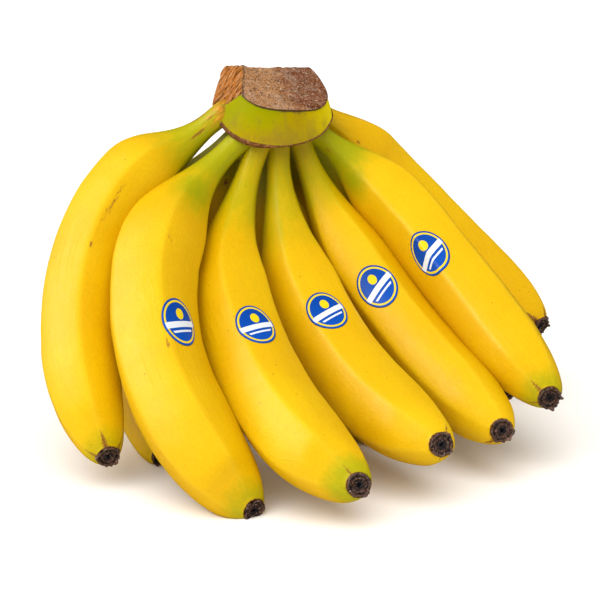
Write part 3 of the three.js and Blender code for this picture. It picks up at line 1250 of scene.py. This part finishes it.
    def tip_profile(self, share: float) -> tuple[float, float, float]:
        """Gives the outline of the dry tip: a hidden root, a raised rim and rings round a hole.

        Args:
            share: From 0 at its hidden root to 1 in the middle of its end.

        Returns:
            The radius, how far beyond the banana's end it is, and how raised it is.
        """
        if share < self.tip_hidden:
            way = share / self.tip_hidden
            return self.tip_radius * lerp(0.7, 0.98, way), lerp(-4.0, -0.9, way), 0.3 * way
        if share < self.tip_rim:
            turn = portion(share, self.tip_hidden, self.tip_rim) * math.pi
            radius = self.tip_radius * (0.96 + 0.06 * math.cos(turn) + 0.05 * math.sin(turn))
            return radius, -0.6 + 0.9 * math.sin(turn / 1.5), math.sin(turn / 1.5)
        way = portion(share, self.tip_rim, 1.0)
        radius = self.tip_radius * 0.9 * (1.0 - way)
        rings = self.tip_ring_height * math.cos(way * self.tip_rings * math.tau) * (1.0 - 0.5 * way)
        sunk = -0.12 - 0.35 * smoothstep(way, 0.0, 0.3)
        hole = -self.tip_hole_depth * smoothstep(way, 0.72, 0.92)
        return radius, sunk + rings + hole, clamp(0.25 + 1.6 * rings)

    def tip_spot(self, row: int, angle: float) -> Spot:
        """Gives a tip vertex's place and values from its row and angle.

        Args:
            row: Its row, from the root.
            angle: Its angle round the section.

        Returns:
            The place, twice, and the values.
        """
        share = row / self.tip_rows
        radius, beyond, crest = self.tip_profile(share)
        end = self.end
        seed = Vector((self.plan.ridge, self.plan.length, 0.0))
        around = Vector((math.cos(angle), math.sin(angle), 0.0))
        lobes = sum(high * noise.noise(around * fine + seed) for fine, high in self.tip_lobes)
        outer = smoothstep(radius, 0.3 * self.tip_radius, self.tip_radius)
        corner = math.exp(-((self.ridge_phase(angle) / self.corner_width) ** 2))
        corner *= self.ridge_chance(angle)
        radius *= 1.0 + (lobes + self.corner_reach * corner - 0.04) * outer
        showing = smoothstep(share, 0.16, 0.3)
        beyond += self.corner_rise * corner * outer * showing
        place = end.off(radius, angle) + end.along * beyond
        rough = sum(high * noise.noise(place * fine) for fine, high in self.tip_clumps) * showing
        outwards = end.off(1.0, angle) - end.point
        place = place + end.along * rough + outwards * (rough * 0.6 * outer)
        place.z = max(place.z, TABLE_HEIGHT)
        return place, place, (crest, clamp(radius / self.tip_radius))

    def build(self, skin: bpy.types.Material, tip: bpy.types.Material) -> None:
        """Makes the banana's two pieces.

        Args:
            skin: Material of the skin.
            tip: Material of the dry tip.
        """
        name, values = self.plan.name, ("ridge", "green", "scar", "torn")
        fruit = turned(f"banana_{name}", self.sides, self.rows, values, self.skin_spot)
        dress(fruit, skin, "skin", HAND_NODE)
        values = ("crest", "reach")
        remains = turned(f"tip_{name}", self.tip_sides, self.tip_rows, values, self.tip_spot)
        dress(remains, tip, "skin", HAND_NODE)


@dataclass
class Crown:
    """The block of old stem that the necks grow from, with its sawn face and its torn left end.

    Slopes, leans and turns are angles. Each wave gives how fine it is and how high it stands, and
    each wave of the torn end gives first how fine it is along its strands.
    """

    cut_left: float = 19.0
    cut_back_left: float = 31.0
    cut_right: float = 24.5
    cut_front: float = 18.0
    cut_back: float = 24.0
    cut_rise: float = 12.3
    cut_slope: float = 27.5
    cut_turn: float = -12.0
    cut_squareness: float = 2.7
    back_rise: float = 21.1
    back_slope: float = 11.3
    side_slope: float = 4.3
    rim_width: float = 27.5
    rim_front: float = 23.0
    rim_back: float = 22.0
    rim_drop: float = 0.2
    rim_front_drop: float = 12.2
    rim_back_drop: float = 6.0
    rim_lean: float = 6.0
    rim_squareness: float = 2.15
    side_normal: Vector = field(default_factory=lambda: Vector((-0.68, 0.0, 0.73)).normalized())
    side_offset: float = 20.0
    lip: float = 0.7
    lip_drop: float = 0.5
    grain: float = 0.5
    dust: float = 0.5
    edge_dark: float = 0.85
    edge_width: float = 0.85
    rim_thin: float = 0.5
    rim_thick: float = 1.7
    horn_rise: float = 2.0
    horn_x: float = -14.0
    horn_half: float = 6.0
    horn_foot: float = 9.0
    horn_top: float = 17.0
    lump_scale: float = 0.09
    lump_height: float = 0.7
    grain_waves: tuple[tuple[float, float], ...] = ((0.4, 0.9), (1.2, 0.5))
    torn_waves: tuple[tuple[float, ...], ...] = ((0.08, 0.55, 0.9), (0.15, 1.6, 0.4))
    warm_height: float = 18.0
    warm_x: float = 3.0
    warm_half: float = 16.0
    rim_bulge: float = 0.5
    sides: int = 220
    rows: int = 200
    cut_share: float = 0.42
    lip_share: float = 0.48
    flank_share: float = 0.84
    rim_share: float = 0.92

    def top(self, x: float, y: float) -> float:
        """Returns the height of the top: the sawn face in front, a gentle fall behind it.

        Args:
            x: Distance to the right of the crown's centre.
            y: Distance behind it.

        Returns:
            The height.
        """
        sawn = self.cut_rise + y * math.tan(math.radians(self.cut_slope))
        fall = y * math.tan(math.radians(self.back_slope))
        fall += x * math.tan(math.radians(self.side_slope))
        return min(sawn, self.back_rise - fall)

    def outline(self, angle: float, up: float) -> Vector:
        """Returns a place on the flank, measured from the crown's centre.

        Args:
            angle: Angle round the crown.
            up: Share of the way from the rim to the cut.

        Returns:
            The place.
        """
        across, back = math.cos(angle), math.sin(angle)
        square = lerp(self.rim_squareness, self.cut_squareness, up)
        boxy = (abs(across) ** square + abs(back) ** square) ** (-1.0 / square)
        left = lerp(self.cut_left, self.cut_back_left, smoothstep(back, -0.5, 0.5))
        half_width = lerp(self.rim_width, left if across < 0.0 else self.cut_right, up)
        front = back < 0.0
        half_depth = lerp(self.rim_front if front else self.rim_back,
                          self.cut_front if front else self.cut_back, up)
        flat = Vector((boxy * across * half_width, boxy * back * half_depth, 0.0))
        flat.rotate(Quaternion((0.0, 0.0, 1.0), math.radians(self.cut_turn) * up))
        drop = self.rim_front_drop if front else self.rim_back_drop
        bottom = flat.x * math.tan(math.radians(self.rim_lean)) - self.rim_drop - drop * abs(back)
        flat.z = lerp(bottom, self.top(flat.x, flat.y), up)
        return flat

    def spot(self, row: int, angle: float) -> Spot:
        """Gives a vertex's place and values from its row and angle.

        Args:
            row: Its row, from the middle of the sawn face.
            angle: Its angle round the crown.

        Returns:
            The place, the place from the crown's centre, and the values.
        """
        share = row / self.rows
        cut = rim = lip = 0.0
        if share < self.cut_share:
            place, cut = self.face_place(share / self.cut_share, angle), 1.0
        elif share < self.lip_share:
            way = portion(share, self.cut_share, self.lip_share)
            place = self.bulge(self.outline(angle, 1.0), self.lip, -self.lip_drop, way)
            cut, lip = smoothstep(way, 1.0, 0.6), smoothstep(way, 0.0, 0.25)
        elif share < self.flank_share:
            way = portion(share, self.lip_share, self.flank_share)
            place = self.outline(angle, 1.0 - way)
            place.z -= self.lip_drop * (1.0 - way)
            dust = self.dust * smoothstep(way, 0.35, 0.0) * clamp(1.3 - abs(place.x) / 18.0)
            rim, lip = smoothstep(way, 0.96, 1.0), smoothstep(way, 0.04, 0.0) + dust
        else:
            edge, rim = self.outline(angle, 0.0), 1.0
            thickness = self.rim_thin + self.rim_thick * smoothstep(-edge.x, 4.0, 24.0)
            if share < self.rim_share:
                way = portion(share, self.flank_share, self.rim_share)
                place = self.bulge(edge, self.rim_bulge, -thickness, way)
            else:
                reach = portion(share, 1.0, self.rim_share)
                place = Vector((edge.x * reach, edge.y * reach, edge.z - thickness))
        place, beyond = self.torn(place)
        side = clamp(beyond / 0.6)
        lip += self.edge_dark * cut * math.exp(-((beyond / self.edge_width) ** 2))
        horn = self.horn_rise * math.exp(-(((place.x - self.horn_x) / self.horn_half) ** 2))
        place.z += horn * smoothstep(place.z, self.horn_foot, self.horn_top)
        lump = noise.noise(place * self.lump_scale) * self.lump_height
        place = place + Vector((place.x, place.y, 0.0)).normalized() * lump
        warm = clamp(0.45 - place.z / self.warm_height)
        warm += 0.3 * clamp(1.0 - abs(place.x - self.warm_x) / self.warm_half)
        cut, rim, lip = (value * (1.0 - side) for value in (cut, rim, lip))
        return place + CROWN_CENTRE, place, (cut, rim, side, warm, lip, place.x / self.rim_width)

    def face_place(self, reach: float, angle: float) -> Vector:
        """Gives a place on the sawn face.

        Args:
            reach: Share of the way from its middle to its edge.
            angle: Angle round the crown.

        Returns:
            The place.
        """
        edge = self.outline(angle, 1.0)
        x, y = edge.x * reach, edge.y * reach
        place = Vector((x, y, self.top(x, y)))
        rough = sum(high * noise.noise(place * fine) for fine, high in self.grain_waves)
        hollow = 0.6 * (1.0 - reach) * (1.0 + noise.noise(place * 0.12))
        place.z += self.grain * rough * smoothstep(1.0 - reach, 0.0, 0.06) - hollow
        return place

    def bulge(self, edge: Vector, out: float, fall: float, way: float) -> Vector:
        """Rounds an edge outwards.

        Args:
            edge: The edge's place.
            out: How far it stands out.
            fall: How far it goes down, below 0.
            way: Share of the way down it.

        Returns:
            The place.
        """
        outwards = Vector((edge.x, edge.y, 0.0)).normalized()
        return edge + outwards * (out * math.sin(way * math.pi)) + Vector((0.0, 0.0, fall * way))

    def torn(self, place: Vector) -> tuple[Vector, float]:
        """Cuts the left end off flat, with strands running down it.

        Args:
            place: A place on the whole crown.

        Returns:
            The place on the cut crown, and how far beyond the cut it was.
        """
        beyond = place.dot(self.side_normal) - self.side_offset
        if beyond <= 0.0:
            return place, beyond
        place = place - self.side_normal * beyond
        strands = sum(
            high * noise.noise(Vector((place.x * along, place.y * across, place.z * along)))
            for along, across, high in self.torn_waves
        )
        return place + self.side_normal * (strands * smoothstep(beyond, 0.0, 1.0)), beyond

    def build(self, material: bpy.types.Material) -> None:
        """Makes the crown.

        Args:
            material: Its material.
        """
        values = ("cut", "rim", "side", "warm", "lip", "right")
        crown = turned("crown", self.sides, self.rows, values, self.spot)
        dress(crown, material, "skin", HAND_NODE)


@dataclass
class Sticker:
    """An oval paper sticker that follows a banana's skin."""

    name: str
    banana: Banana
    along: float
    around: float
    turn: float
    half_length: float = 12.8
    half_width: float = 8.9
    lift: float = 0.12
    thickness: float = 0.22
    sides: int = 96
    rows: int = 60

    def spot(self, row: int, angle: float) -> Spot:
        """Gives a vertex's place and its place on the print from its row and angle.

        Args:
            row: Its row, from the middle of the paper's back.
            angle: Its angle round the oval.

        Returns:
            The place, the place on the print, and how far out that is.
        """
        share = row / self.rows
        reach = 1.0 - abs(1.0 - 2.0 * share)
        across, length = reach * math.cos(angle), reach * math.sin(angle)
        x, y = across * self.half_width, length * self.half_length
        turn = math.radians(self.turn)
        along = self.along + y * math.cos(turn) - x * math.sin(turn)
        sideways = y * math.sin(turn) + x * math.cos(turn)
        around = math.radians(self.around) + sideways / self.banana.body_radius(self.along)
        radius = self.banana.skin_radius(along, around) + self.lift
        station = self.banana.spine([along])[0]
        lump = noise.noise(station.off(radius, around) / self.banana.lump_size)
        radius += lump * self.banana.unevenness + (self.thickness if share > 0.5 else 0.0)
        return station.off(radius, around), Vector((across, length, 0.0)), (reach,)

    def build(self, material: bpy.types.Material) -> None:
        """Makes the sticker."""
        piece = turned(f"paper_{self.name}", self.sides, self.rows, ("reach",), self.spot)
        dress(piece, material, "sticker", self.name)


# Each sticker with its banana, its place along and around it, and its turn.
STICKER_PLACES = (
    ("sticker_1", "front1", 129, 24, -5),
    ("sticker_2", "front2", 120, 47, -6),
    ("sticker_3", "front3", 107, 71, -3),
    ("sticker_4", "front4", 96, 75, 0),
    ("sticker_5", "front5", 100, 97, -1),
)


@dataclass(frozen=True)
class Panel:
    """A flat rectangular light that faces the origin, in metres and watts."""

    name: str
    place: tuple[float, float, float]
    width: float
    height: float
    power: float
    only_sheen: bool = False

    def hang(self) -> None:
        """Hangs the light."""
        data = bpy.data.lights.new(self.name, "AREA")
        data.shape = "RECTANGLE"
        data.size, data.size_y = self.width, self.height
        data.energy = self.power
        light = add(self.name, data)
        light.location = self.place
        light.rotation_euler = Vector(self.place).to_track_quat("Z", "Y").to_euler()
        light.visible_diffuse = not self.only_sheen


@dataclass
class Studio:
    """The camera, in the part's millimetres, and the pale floor and soft light, in metres."""

    camera_place: tuple[float, float, float] = (-399.55, -703.55, 283.8)
    camera_target: tuple[float, float, float] = (-1.55, 14.55, 63.8)
    camera_reach: float = 100.0
    sensor: float = 36.0
    focal_length: float = 111.0
    floor_size: float = 12.0
    floor_colour: Colour = (0.87, 0.845, 0.81, 1.0)
    floor_roughness: float = 0.9
    sky_strength: float = 0.6
    sun_strength: float = 3.16
    sun_spread: float = 70.0
    sun_from: tuple[float, float, float] = (-0.4, -0.45, 0.9)
    panels: tuple[Panel, ...] = (
        Panel("softbox", (-1.15, 0.15, 0.6), 1.3, 0.9, 6.6),
        Panel("sheen", (-1.1, 0.42, 0.85), 1.3, 1.0, 30.0, only_sheen=True),
    )

    def build_camera(self) -> None:
        """Sets the camera."""
        data = bpy.data.cameras.new("camera")
        data.sensor_width = self.sensor
        data.lens = self.focal_length
        data.clip_end = self.camera_reach
        place, target = Vector(self.camera_place), Vector(self.camera_target)
        look = (target - place).to_track_quat("-Z", "Y")
        camera = add("camera", data)
        camera.matrix_world = Matrix.Translation(place * MM) @ look.to_matrix().to_4x4()
        bpy.context.scene.camera = camera

    def build_floor(self) -> None:
        """Lays the floor."""
        grid = bmesh.new()
        bmesh.ops.create_grid(grid, x_segments=8, y_segments=8, size=self.floor_size / 2.0)
        floor = add_mesh("floor", grid)
        paint = Paint("floor_white")
        floor.data.materials.append(paint.finish(self.floor_colour, self.floor_roughness, 0.0))
        floor.visible_glossy = False

    def build_light(self) -> None:
        """Sets the sky and the broad sun, and hangs the panels."""
        world = bpy.data.worlds.new("studio")
        world.use_nodes = True
        sky = world.node_tree.nodes["Background"].inputs
        sky["Color"].default_value = WHITE
        sky["Strength"].default_value = self.sky_strength
        world.cycles_visibility.glossy = False
        bpy.context.scene.world = world
        data = bpy.data.lights.new("sun", "SUN")
        data.energy = self.sun_strength
        data.angle = math.radians(self.sun_spread)
        sun = add("sun", data)
        sun.rotation_euler = Vector(self.sun_from).to_track_quat("Z", "Y").to_euler()
        sun.visible_glossy = False
        for panel in self.panels:
            panel.hang()
        bpy.context.scene.view_settings.view_transform = "Standard"


def main() -> None:
    """Builds the scene."""
    logging.basicConfig(level=logging.INFO, format="%(message)s")
    studio = Studio()
    studio.build_camera()
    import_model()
    studio.build_floor()
    studio.build_light()
    skin, tip = SkinFinish().make(), TipFinish().make()
    bananas = {plan.name: Banana(plan) for plan in PLANS}
    for banana in bananas.values():
        banana.build(skin, tip)
    Crown().build(CrownFinish().make())
    paper = StickerFinish().make()
    for name, banana, along, around, turn in STICKER_PLACES:
        Sticker(name, bananas[banana], along, around, turn).build(paper)


if __name__ == "__main__":
    main()
